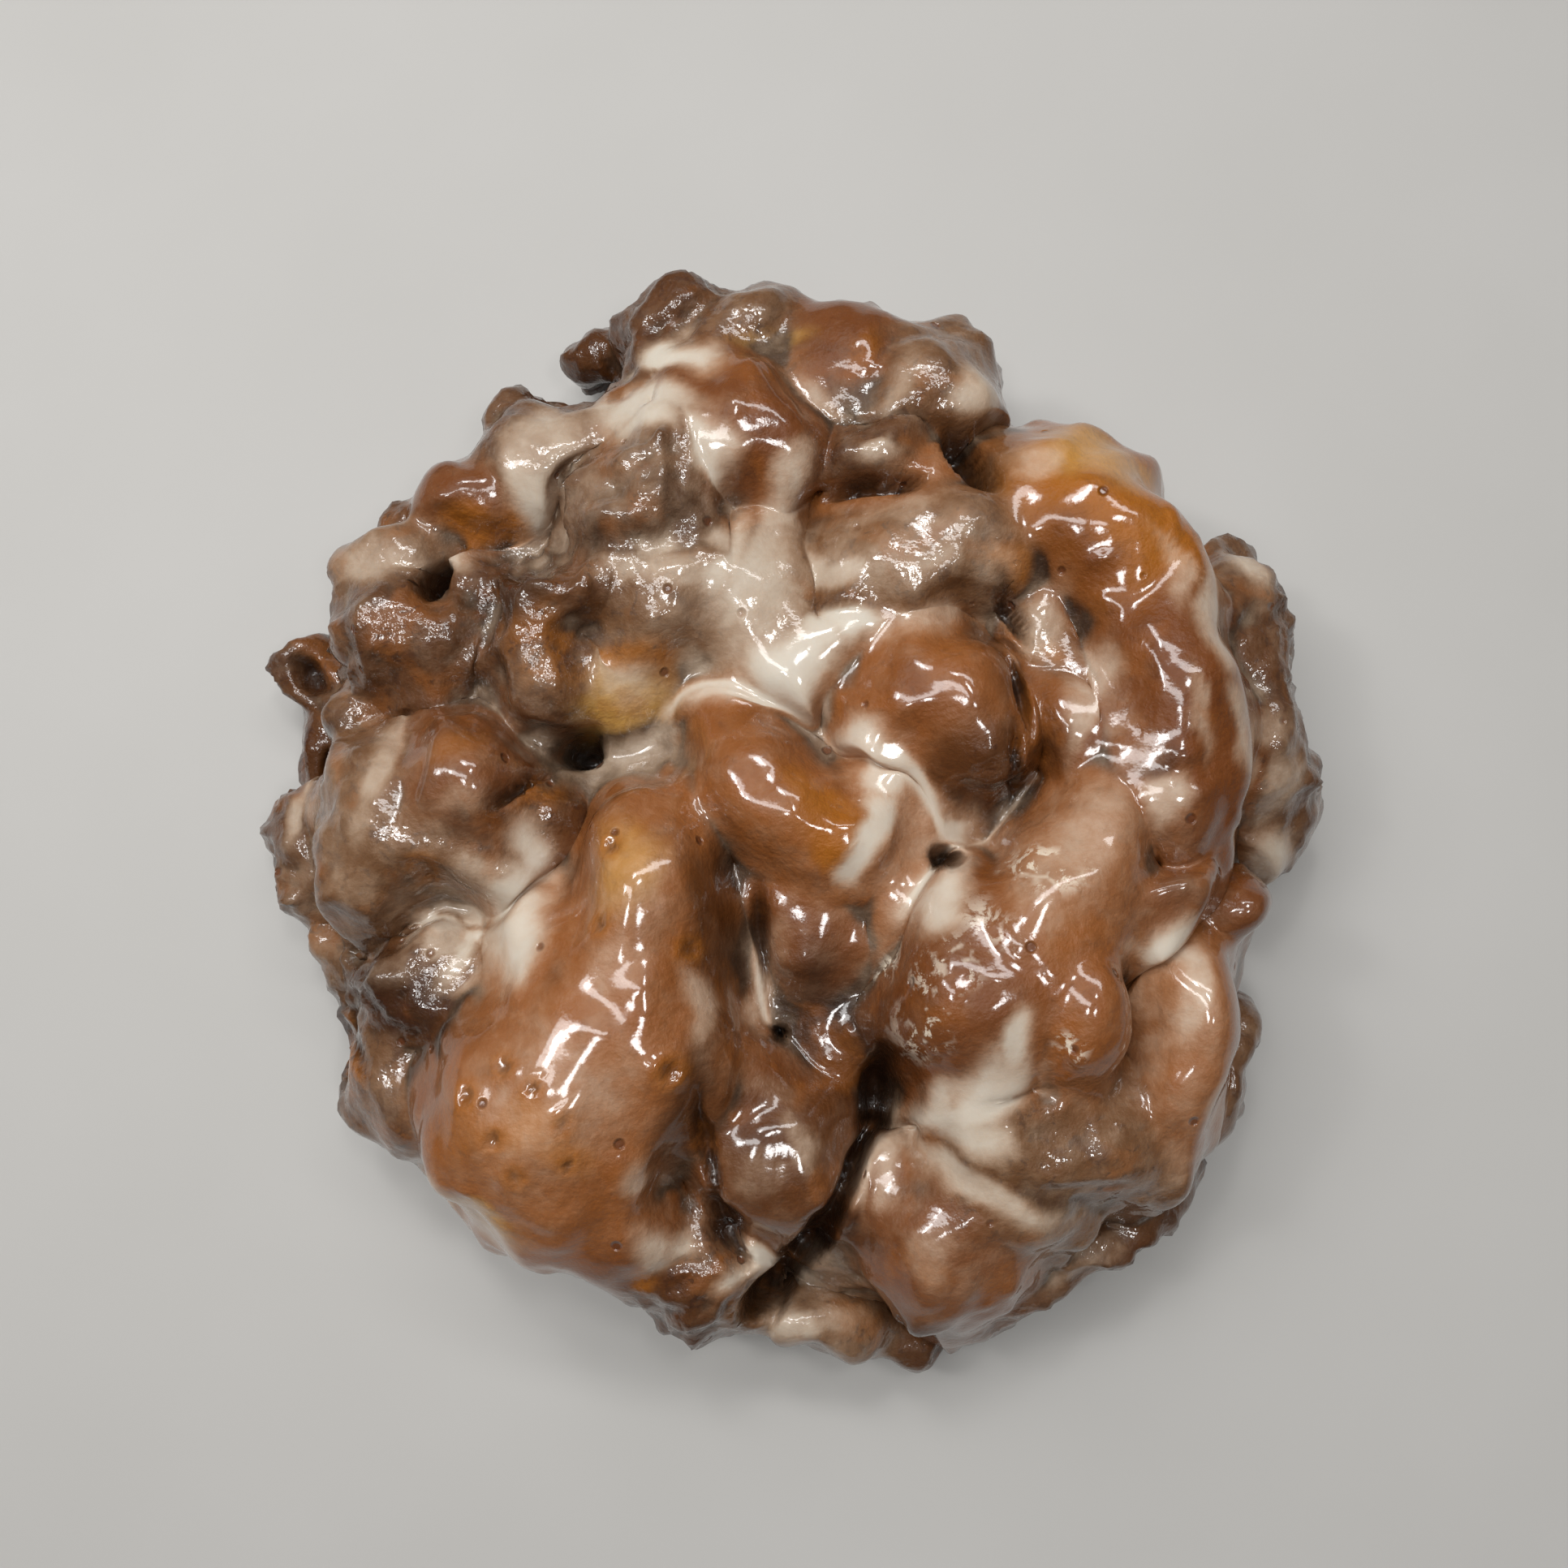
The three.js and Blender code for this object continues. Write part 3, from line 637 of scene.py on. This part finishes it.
def lobe_place(lobe):
    """The lobe's middle, its half sizes and its axes."""
    x, y, crest, length, width, thickness, turn = lobe[:7]
    half = np.array([length, width, thickness]) / 2.0
    return np.array([x, y, crest - thickness / 2.0]), half, flat_turn(turn)


def joined_lobes():
    """Every lobe's squared ball, stretched to its sizes, turned, put in place and cut flat below."""
    ball, squares = unit_ball(BALL_AROUND, BALL_ALONG)
    points = []
    for lobe in LOBES.values():
        middle, half, axes = lobe_place(lobe)
        points.append((ball * half) @ axes + middle)
    joined = np.concatenate(points)
    joined[:, 2] = np.maximum(joined[:, 2], 0.0)
    faces = np.concatenate([squares + len(ball) * i for i in range(len(LOBES))])
    return joined, faces


def lobe_distance(lobe, points):
    """Distance to one lobe, below zero inside, and the way out of it.

    The size the lobe would need to reach the point, less one, over how fast that size grows there.
    """
    middle, half, axes = lobe_place(lobe)
    across = (points - middle) @ axes.T / half
    part = np.abs(across)
    reach = ((part ** FULLNESS).sum(axis=1) + 1e-9) ** (1.0 / FULLNESS)
    slope = np.sign(across) * part ** (FULLNESS - 1.0) / half * (reach ** (1.0 - FULLNESS))[:, None]
    steep = np.linalg.norm(slope, axis=1) + 1e-9
    return (reach - 1.0) / steep, (slope / steep[:, None]) @ axes


def dough(points, blend):
    """Distance to all the lobes run together, the way out, the crust colour and the glaze there.

    Each lobe counts by how near it is, falling to about a third for each blend length further off,
    so lobes flow into each other over about that length. The joint distance is the blend length
    times the logarithm of the sum, turned round. Colour and glaze are shared in the same way.
    """
    blend = np.broadcast_to(blend, len(points))
    total = np.full(len(points), 1e-30)
    out = np.zeros((len(points), 3))
    looks = np.zeros((len(points), 4))
    looks_total = np.full(len(points), 1e-30)
    for lobe in LOBES.values():
        middle, half, _ = lobe_place(lobe)
        offset = points - middle
        reach = half.max() * LOBE_REACH + LOBE_MARGIN
        near = np.flatnonzero((offset ** 2).sum(axis=1) < reach ** 2)
        if not len(near):
            continue
        distance, away = lobe_distance(lobe, points[near])
        distance = np.clip(distance, *DISTANCE_RANGE)
        weight = np.exp(-distance / blend[near])
        total[near] += weight
        out[near] += weight[:, None] * away
        weight = np.exp(-distance / COLOUR_BLEND)
        looks_total[near] += weight
        looks[near] += weight[:, None] * np.append(linear(TONES[lobe[7]]), lobe[8])
    out /= np.linalg.norm(out, axis=1, keepdims=True) + 1e-12
    looks /= looks_total[:, None]
    return -blend * np.log(total), out, looks[:, :3], looks[:, 3]


def sway(points):
    """Each wave runs along its own heading and pushes points sideways and a little up and down.

    The push is the sine of how far along the wave a point lies, times a share of the wave's length.
    """
    moved = points - CENTRE
    for wave in range(WAVE_COUNT):
        span = WAVE_LENGTH * WAVE_SHRINK ** wave
        heading = WAVE_TURN * wave
        along = points @ np.array([math.cos(heading), math.sin(heading), WAVE_CLIMB])
        push = WAVE_PUSH * span * np.sin(2 * np.pi * along / span + WAVE_START * wave)
        moved += push[:, None] * np.array([-math.sin(heading), math.cos(heading), WAVE_LIFT])
    return moved


def even_skin(points, faces, square):
    """The outside of overlapping closed shapes as one net of even squares, by voxel remeshing."""
    mesh = bpy.data.meshes.new("rough")
    mesh.from_pydata((points * MM).tolist(), [], faces.tolist())
    rough = bpy.data.objects.new("rough", mesh)
    bpy.context.scene.collection.objects.link(rough)
    remesh = rough.modifiers.new("remesh", "REMESH")
    remesh.mode = "VOXEL"
    remesh.voxel_size = square * MM
    remeshed = rough.evaluated_get(bpy.context.evaluated_depsgraph_get())
    even = bpy.data.meshes.new_from_object(remeshed)
    bpy.data.objects.remove(rough)
    bpy.data.meshes.remove(mesh)
    points = np.empty(len(even.vertices) * 3)
    even.vertices.foreach_get("co", points)
    faces = np.empty(len(even.loops), int)
    even.loops.foreach_get("vertex_index", faces)
    bpy.data.meshes.remove(even)
    return outer_part(points.reshape(-1, 3) / MM, faces.reshape(-1, 4))


def outer_part(points, faces):
    """Only the largest connected net, without the walls of sealed hollows.

    Every point takes the lowest label among its neighbours, again and again, until none changes.
    """
    label = np.arange(len(points))
    while True:
        lowest = label[faces].min(axis=1)
        spread = label.copy()
        for corner in range(4):
            np.minimum.at(spread, faces[:, corner], lowest)
        spread = spread[spread]
        if np.array_equal(spread, label):
            break
        label = spread
    largest = np.bincount(label).argmax()
    kept = label == largest
    new_index = np.cumsum(kept) - 1
    return points[kept], new_index[faces[kept[faces[:, 0]]]]


def neighbour_average(values, faces, rounds):
    """Each point's value moved halfway to the average of the points beside it, once a round."""
    start = np.concatenate([faces[:, 0], faces[:, 1], faces[:, 2], faces[:, 3]])
    end = np.concatenate([faces[:, 1], faces[:, 2], faces[:, 3], faces[:, 0]])
    count = np.bincount(start, minlength=len(values))
    for _ in range(rounds):
        columns = [np.bincount(start, values[end, i], len(values)) for i in range(values.shape[1])]
        values = (values + np.stack(columns, axis=1) / count[:, None]) / 2.0
    return values


def hollow(points, faces, out, rounds):
    """How far each point lies below its surroundings; more rounds look further round."""
    return ((neighbour_average(points, faces, rounds) - points) * out).sum(axis=1)


def net_normals(points, faces):
    """Each point's outward direction: the summed cross products of the diagonals of its squares."""
    corner = points[faces]
    cross = np.cross(corner[:, 2] - corner[:, 0], corner[:, 3] - corner[:, 1])
    total = np.zeros_like(points)
    for i in range(4):
        for axis in range(3):
            total[:, axis] += np.bincount(faces[:, i], cross[:, axis], len(points))
    return total / (np.linalg.norm(total, axis=1, keepdims=True) + 1e-12)


def spot_weight(points, spot, spread=0.0):
    """1 at the middle of an oval seen from above, falling smoothly to 0 past its half sizes."""
    x, y, half_length, half_width, turn = spot[:5]
    across = (points - np.array([x, y, 0.0])) @ flat_turn(turn).T
    radius = np.hypot(across[:, 0] / (half_length + spread), across[:, 1] / (half_width + spread))
    return 1.0 - smooth_step(*SPOT_EDGE, radius)


def strongest(points, spots, spread=0.0):
    """The largest of the spots' weights at each point, each times its own strength."""
    share = np.zeros(len(points))
    for spot in spots.values():
        share = np.maximum(share, spot[5] * spot_weight(points, spot, spread))
    return share


def fritter_skin():
    """The dough's skin settled onto the lobes, with relief, pits and glaze: points, faces and looks."""
    points, faces = even_skin(*joined_lobes(), SKIN_SQUARE)
    placed = sway(points)
    wander = WANDER * drift(placed, *WANDER_CLOUD)
    ragged = placed + wander
    pool = strongest(ragged, POOLS, POOL_SPREAD)
    near_pool = neighbour_average(pool[:, None], faces, NEAR_POOL_ROUNDS)[:, 0]
    points = settled(points, faces, pool)
    # The tight blend finds the seams between lobes, which take painted shade where they sink in.
    seam, _, tone, glaze = dough(points, SEAM_BLEND)
    seam = smooth_step(*SEAM_GAP, seam)
    craggy = 1.0 - smooth_step(*SMOOTH_RED, tone[:, 0])
    tone, glaze = patched(ragged, tone, glaze)
    out = net_normals(points, faces)
    points = points + (relief(points, craggy) * (1.0 - 0.75 * pool))[:, None] * out
    calm = (1.0 - craggy)[:, None]
    points = points + 0.8 * calm * (neighbour_average(points, faces, CALM_ROUNDS) - points)
    out = net_normals(points, faces)
    dip = hollow(points, faces, out, DIP_ROUNDS)
    basin = hollow(points, faces, out, BASIN_ROUNDS)
    seam = seam * smooth_step(*SEAM_BASIN, basin)
    run_in = np.clip(2.0 * near_pool, 0.0, 1.0) * smooth_step(*RUN_IN_BASIN, basin)
    pool = np.maximum(pool, 0.9 * run_in)
    points = points + (0.8 * pool * np.clip(dip, -0.3, 0.8))[:, None] * out
    film = glaze_film(points, out, basin, glaze, pool)
    bare = 1.0 - smooth_step(*BARE_POOL, np.maximum(pool, near_pool))
    # Painted shade on bare crust in deep basins and in small dips of craggy crust.
    deep = np.maximum(smooth_step(*SHADE_BASIN, basin), 0.8 * craggy * smooth_step(*CRAG_DIP, dip))
    tone = browned(points, tone, seam * bare, dip, deep * bare * (1.0 - 0.4 * glaze))
    frost = strongest(ragged, CRACKLE)
    points, film, tone = pitted(sway(points), film, tone, wander)
    points, film, tone = bubbled(points, film, tone)
    points[:, 2] = np.maximum(points[:, 2], 0.0)
    rough = np.clip(0.08 + 0.8 * craggy, 0.0, 1.0) * (1.0 - 0.9 * film)
    return points, faces, {"crust": tone, "film": film, "frost": frost, "rough": rough}


def settled(points, faces, pool):
    """The skin moved onto the lobes, with creases filled where glaze lies and pools made level.

    Each round moves every point along the way out by its distance from the inset lobes. The blend
    grows from bare crust to filled crease with the glaze.
    """
    _, _, _, glaze = dough(points, CRUST_BLEND)
    patch = 0.5 + 0.5 * cloud(points, *PATCH_CLOUD)
    fill = np.clip(pool + 0.4 * glaze * patch, 0.0, 1.0)
    fill = neighbour_average(fill[:, None], faces, FILL_ROUNDS)[:, 0]
    blend = CRUST_BLEND + (GLAZE_BLEND - CRUST_BLEND) * fill
    for _ in range(SETTLE_ROUNDS):
        distance, out, _, _ = dough(points, blend)
        points = points - np.clip(distance + INSET, -LONGEST_STEP, LONGEST_STEP)[:, None] * out
    points = neighbour_average(points, faces, SETTLED_ROUNDS)
    points = filled(points, faces, 0.4 + 0.6 * fill)
    level = smooth_step(*LEVEL_POOL, neighbour_average(pool[:, None], faces, LEVEL_EDGE_ROUNDS))
    return points + 0.9 * level * (neighbour_average(points, faces, LEVEL_ROUNDS) - points)


def filled(points, faces, share):
    """Creases raised by a share of how far they lie below their surroundings, from wide to narrow."""
    for rounds in CREASE_ROUNDS:
        out = net_normals(points, faces)
        rise = share * np.clip(hollow(points, faces, out, rounds), 0.0, 1.2)
        points = points + neighbour_average(rise[:, None], faces, RISE_ROUNDS) * out
    return points


def patched(points, tone, glaze):
    """Crust colour and glaze, with each patch drawing the colour to its tone and thinning the glaze."""
    for spot in PATCHES.values():
        share = spot[6] * spot_weight(points, spot)
        tone = towards(tone, spot[5], share)
        glaze = glaze * (1.0 - 0.8 * share)
    return tone, glaze


def relief(points, craggy):
    """Height in millimetres of puffs, crests, crags, ripples and blisters.

    Puffs are a cloud without its sign, so creases run between them. Crests and crags are a cloud and
    a noise without their signs, upside down, on dark crust. Blisters are the tops of a fine noise.
    """
    puff = 0.9 * np.abs(cloud(points, *PUFF_CLOUD)) - 0.3
    crest = 0.5 - 1.4 * np.abs(cloud(points, *CREST_CLOUD))
    ripple = 0.4 * cloud(points, *RIPPLE_CLOUD)
    blister = 1.5 * np.maximum(sized_noise(points, *BLISTER_NOISE) - 0.45, 0.0)
    crag = 0.45 - 1.5 * np.abs(sized_noise(points, *CRAG_NOISE))
    return puff + craggy * crest + craggy ** 2 * crag + (0.4 + 0.6 * craggy) * ripple + blister


def glaze_film(points, out, basin, glaze, pool):
    """How white the glaze is, from 0 to 1: thick in pools and hollows, thin on crests and slopes.

    A coat with runs in it and glaze gathered in hollows hide the crust by one less a falling power.
    Pools hide a share of what is left. All of it is thinner on slopes and ends near the foot.
    """
    level = 0.35 + 0.65 * smooth_step(*FACING_UP, out[:, 2])
    runs = 0.5 + 0.5 * cloud(points * np.array([1.0, 1.0, 0.5]), *RUNS_CLOUD)
    valley = smooth_step(*VALLEY_BASIN, basin)
    coat = glaze * (0.12 + 0.36 * runs)
    gathered = 0.7 * glaze * valley ** 2
    thin = 1.0 - np.exp(-level * (coat + gathered))
    thick = smooth_step(*THICK_POOL, pool * (0.85 + 0.3 * runs) + 0.12 * valley * (pool > 0.1))
    high = smooth_step(*GLAZED_HEIGHT, points[:, 2] + 5.0 * cloud(points, *FOOT_CLOUD))
    return (1.0 - (1.0 - thin) * (1.0 - 0.9 * thick * (0.4 + 0.6 * level))) * high


def browned(points, tone, seam_shade, dip, hollow_shade):
    """The crust colour with painted shade in bare seams and hollows, darker on sharp crests, russet at
    the rim.
    """
    crest = np.clip(-dip / 0.4, 0.0, 1.0)
    rim = 1.0 - smooth_step(*RIM_HEIGHT, points[:, 2] + 4.0 * cloud(points, *RIM_CLOUD))
    tone = towards(tone, "russet", 0.6 * rim)
    return towards(tone, "dark", np.clip(0.9 * seam_shade + 0.25 * crest + hollow_shade, 0.0, 0.95))


def pitted(points, film, tone, wander):
    """Each pit pressed down by its depth times its weight, with painted shade inside and almost bare of
    glaze.
    """
    for pit in PITS.values():
        hole = spot_weight(points + 0.5 * wander, pit) * smooth_step(*PIT_HEIGHT, points[:, 2])
        points[:, 2] -= pit[5] * hole
        film = film * (1.0 - 0.9 * hole)
        # Painted shade inside the pit.
        tone = towards(tone, "dark", 0.9 * hole)
    return points, film, tone


def bubbled(points, film, tone):
    """Each burst bubble as a hole inside a raised amber rim twice as wide."""
    for x, y, half in PORES:
        shown = points[:, 2] > PORE_HEIGHT
        hole = spot_weight(points, (x, y, half, half, 0.0)) * shown
        rim = spot_weight(points, (x, y, 2.0 * half, 2.0 * half, 0.0)) * shown
        points[:, 2] += half * (0.5 * rim - 1.3 * hole)
        film = film * (1.0 - 0.6 * rim)
        tone = towards(tone, "amber", 0.6 * rim)
        tone = towards(tone, "umber", 0.7 * hole)
    return points, film, tone


def mesh_piece(name, points, faces, material):
    """A piece at the origin with its shape in its mesh, smooth shaded."""
    mesh = bpy.data.meshes.new(name)
    mesh.from_pydata((points * MM).tolist(), [], faces.tolist())
    mesh.polygons.foreach_set("use_smooth", np.ones(len(mesh.polygons), bool))
    mesh.materials.append(material)
    mesh.update()
    piece = bpy.data.objects.new(name, mesh)
    bpy.context.scene.collection.objects.link(piece)
    return piece


def add_looks(piece, looks):
    """A colour or a number for every point, under its name, for the material to read."""
    for name, values in looks.items():
        if values.ndim == 2:
            colours = np.concatenate([values, np.ones((len(values), 1))], axis=1)
            layer = piece.data.attributes.new(name, "FLOAT_COLOR", "POINT")
            layer.data.foreach_set("color", colours.ravel())
        else:
            layer = piece.data.attributes.new(name, "FLOAT", "POINT")
            layer.data.foreach_set("value", values)


class Nodes:
    """Short calls for a material's nodes."""

    def __init__(self, name):
        self.material = bpy.data.materials.new(name)
        self.material.use_nodes = True
        self.tree = self.material.node_tree
        self.shader = self.tree.nodes["Principled BSDF"]
        self.place = self.add("ShaderNodeTexCoord").outputs["Object"]

    def add(self, kind, **settings):
        """A new node of the given kind."""
        node = self.tree.nodes.new(kind)
        for key, value in settings.items():
            setattr(node, key, value)
        return node

    def link(self, source, target):
        """A link from an output to an input."""
        self.tree.links.new(source, target)

    def feed(self, value, socket):
        """A number or a display colour set on a socket, or an output linked to it."""
        if isinstance(value, (int, float)):
            socket.default_value = value
        elif isinstance(value, tuple):
            socket.default_value = (*linear(value), 1.0)
        else:
            self.link(value, socket)

    def noise(self, size, detail=3.0, roughness=0.55, distortion=0.0):
        """Noise whose largest features are about the given size in millimetres."""
        node = self.add("ShaderNodeTexNoise")
        node.inputs["Scale"].default_value = 1.0 / (size * MM)
        node.inputs["Detail"].default_value = detail
        node.inputs["Roughness"].default_value = roughness
        node.inputs["Distortion"].default_value = distortion
        self.link(self.place, node.inputs["Vector"])
        return node.outputs["Fac"]

    def cells(self, size, feature):
        """Irregular cells about the given size in millimetres, with distances in sizes."""
        node = self.add("ShaderNodeTexVoronoi", feature=feature)
        node.inputs["Scale"].default_value = 1.0 / (size * MM)
        self.link(self.place, node.inputs["Vector"])
        return node

    def ramp(self, value, low, high, start=0.0, end=1.0):
        """The value's stretch from low to high spread over start to end, with soft ends."""
        node = self.add("ShaderNodeMapRange", interpolation_type="SMOOTHSTEP")
        self.link(value, node.inputs["Value"])
        node.inputs["From Min"].default_value = low
        node.inputs["From Max"].default_value = high
        node.inputs["To Min"].default_value = start
        node.inputs["To Max"].default_value = end
        return node.outputs["Result"]

    def math(self, operation, first, second):
        """Two values put together by the named operation."""
        node = self.add("ShaderNodeMath", operation=operation)
        self.feed(first, node.inputs[0])
        self.feed(second, node.inputs[1])
        return node.outputs[0]

    def times(self, first, second):
        """One value times the other."""
        return self.math("MULTIPLY", first, second)

    def less(self, first, second):
        """One value less the other."""
        return self.math("SUBTRACT", first, second)

    def mix(self, share, first, second, kind="RGBA"):
        """A share of the second value and the rest of the first, for colours or for numbers."""
        node = self.add("ShaderNodeMix", data_type=kind)
        for name, value in {"Factor": share, "A": first, "B": second}.items():
            self.feed(value, [s for s in node.inputs if s.name == name and s.enabled][0])
        return [s for s in node.outputs if s.enabled][0]

    def attribute(self, name, output="Fac"):
        """A value that the mesh holds for every point."""
        return self.add("ShaderNodeAttribute", attribute_name=name).outputs[output]

    def first_part(self, colour):
        """The red of a colour as a number."""
        node = self.add("ShaderNodeSeparateColor")
        self.link(colour, node.inputs["Color"])
        return node.outputs["Red"]

    def bump(self, height, distance, strength):
        """A surface direction tilted by the height, which spans the given millimetres."""
        node = self.add("ShaderNodeBump")
        node.inputs["Strength"].default_value = strength
        node.inputs["Distance"].default_value = distance * MM
        self.link(height, node.inputs["Height"])
        return node.outputs["Normal"]


def craters(nodes):
    """1 in the middle of some of the cells, falling to 0 within a sixth of a cell."""
    cell = nodes.cells(5.0, "F1")
    chosen = nodes.ramp(nodes.first_part(cell.outputs["Color"]), 0.72, 0.74)
    return nodes.times(nodes.ramp(cell.outputs["Distance"], 0.09, 0.17, 1.0, 0.0), chosen)


def marked_crust(nodes, window, crater):
    """The crust's own colour with amber windows and craters, and with blotches and specks if rough."""
    coarse = nodes.ramp(nodes.attribute("rough"), 0.05, 0.4, 0.15, 0.7)
    blotch = nodes.ramp(nodes.noise(6.0, detail=5.0, roughness=0.65, distortion=0.5), 0.52, 0.66)
    speck = nodes.ramp(nodes.noise(1.8, detail=3.0, roughness=0.6, distortion=0.6), 0.56, 0.68)
    crust = nodes.mix(nodes.times(blotch, coarse), nodes.attribute("crust", "Color"), BLOTCH)
    crust = nodes.mix(nodes.times(window, 0.4), crust, WINDOW)
    crust = nodes.mix(nodes.times(crater, 0.8), crust, CRATER)
    return nodes.mix(nodes.times(speck, coarse), crust, SPECK)


def worn_film(nodes, window, crater):
    """The glaze film made cloudy by an uneven power, and worn away over windows and craters if thin."""
    uneven = nodes.noise(3.0, detail=5.0, roughness=0.6, distortion=0.3)
    film = nodes.math("POWER", nodes.attribute("film"), nodes.ramp(uneven, 0.3, 0.7, 1.55, 0.95))
    gone = nodes.math("MAXIMUM", nodes.times(crater, 0.7), nodes.times(window, 0.3))
    bared = nodes.times(film, nodes.less(1.0, gone))
    return nodes.mix(nodes.ramp(film, 0.45, 0.75), bared, film, "FLOAT")


def crackled(nodes):
    """Dry sugar as flakes and as lines along the edges of cells, where the frost lies."""
    edge = nodes.cells(4.5, "DISTANCE_TO_EDGE").outputs["Distance"]
    line = nodes.times(nodes.ramp(edge, 0.0, 0.1, 0.6, 0.0), nodes.ramp(nodes.noise(2.5), 0.48, 0.58))
    flake = nodes.ramp(nodes.noise(3.2, detail=6.0, roughness=0.7, distortion=0.4), 0.51, 0.58)
    return nodes.times(nodes.math("MAXIMUM", line, flake), nodes.attribute("frost"))


def glazed_crust():
    """Browned crust seen through a milky film: the thicker the film, the whiter and smoother."""
    nodes = Nodes("glazed_crust")
    crater = craters(nodes)
    window = nodes.ramp(nodes.noise(9.0, detail=4.0, roughness=0.5, distortion=0.3), 0.54, 0.68)
    film = worn_film(nodes, window, crater)
    milk = nodes.mix(film, THIN_MILK, MILK)
    colour = nodes.mix(film, marked_crust(nodes, window, crater), milk)
    colour = nodes.mix(nodes.times(crackled(nodes), 0.85), colour, SUGAR)
    grain = nodes.times(nodes.noise(1.2, detail=4.0, roughness=0.6), nodes.less(1.0, film))
    ripple = nodes.times(nodes.noise(2.2, detail=3.0, roughness=0.5), nodes.attribute("rough"))
    sockets = nodes.shader.inputs
    for name, value in GLOSS.items():
        sockets[name].default_value = value
    nodes.link(colour, sockets["Base Color"])
    nodes.link(nodes.bump(nodes.less(grain, crater), 0.5, 0.6), sockets["Normal"])
    nodes.link(nodes.bump(nodes.less(ripple, crater), 0.7, 0.8), sockets["Coat Normal"])
    return nodes.material


def pale_floor():
    """A plain pale floor, a little mottled."""
    nodes = Nodes("pale_floor")
    nodes.link(nodes.mix(nodes.noise(FLOOR_MOTTLE), *FLOOR_TONES), nodes.shader.inputs["Base Color"])
    nodes.shader.inputs["Roughness"].default_value = FLOOR_ROUGHNESS
    side = np.array([[-1, -1, 0], [1, -1, 0], [1, 1, 0], [-1, 1, 0]]) * FLOOR_HALF
    floor = mesh_piece("floor", side, np.array([[0, 1, 2, 3]]), nodes.material)


def area_light(name, place, width, length, power, mirrored=True):
    """A lamp that faces the fritter: its place, width and length in metres, and its power in watts."""
    lamp = bpy.data.lights.new(name, "AREA")
    lamp.shape = "RECTANGLE"
    lamp.size = width
    lamp.size_y = length
    lamp.energy = power
    stand = bpy.data.objects.new(name, lamp)
    stand.location = place
    stand.rotation_euler = (-Vector(place)).to_track_quat("-Z", "Y").to_euler()
    stand.visible_glossy = mirrored
    bpy.context.scene.collection.objects.link(stand)


def studio():
    """A dim sky, a soft key and fill that the gloss doesn't mirror, and lamps that draw glints."""
    world = bpy.data.worlds.new("studio")
    world.use_nodes = True
    sky = world.node_tree.nodes["Background"].inputs
    sky["Color"].default_value = SKY_COLOUR
    sky["Strength"].default_value = SKY_STRENGTH
    bpy.context.scene.world = world
    for name, settings in LAMPS.items():
        area_light(name, *settings)
    for i in range(RING_COUNT):
        angle = RING_START + i * 2.0 * math.pi / RING_COUNT
        reach = RING_REACH + RING_STEP * (i % RING_STEPS)
        x = reach * math.cos(angle) + RING_MIDDLE[0]
        y = reach * math.sin(angle) + RING_MIDDLE[1]
        area_light("lamp_%d" % i, (x, y, RING_HEIGHT), RING_SIDE, RING_SIDE, RING_POWER)
    bpy.context.scene.view_settings.view_transform = "Standard"


def camera():
    """Almost straight above, a little towards the near side, about 0.22 m up."""
    lens = bpy.data.cameras.new("camera")
    lens.sensor_width = SENSOR_WIDTH
    lens.lens = LENS
    lens.clip_start = NEAREST_SEEN
    stand = bpy.data.objects.new("camera", lens)
    forward = Vector(CAMERA_FORWARD).normalized()
    right = forward.cross(Vector(CAMERA_UP)).normalized()
    turn = Matrix((right, right.cross(forward), -forward)).transposed().to_4x4()
    turn.translation = Vector(CAMERA_PLACE) - Vector(CENTRE * MM)
    stand.matrix_world = turn
    bpy.context.scene.collection.objects.link(stand)
    bpy.context.scene.camera = stand


def build_fritter():
    """The one piece: the fritter's glazed skin, which stands for the solid."""
    points, faces, looks = fritter_skin()
    piece = mesh_piece("glazed_fritter", points, faces, glazed_crust())
    add_looks(piece, looks)
    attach(piece, "root")
    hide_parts("fritter")


build_fritter()
pale_floor()
studio()
camera()
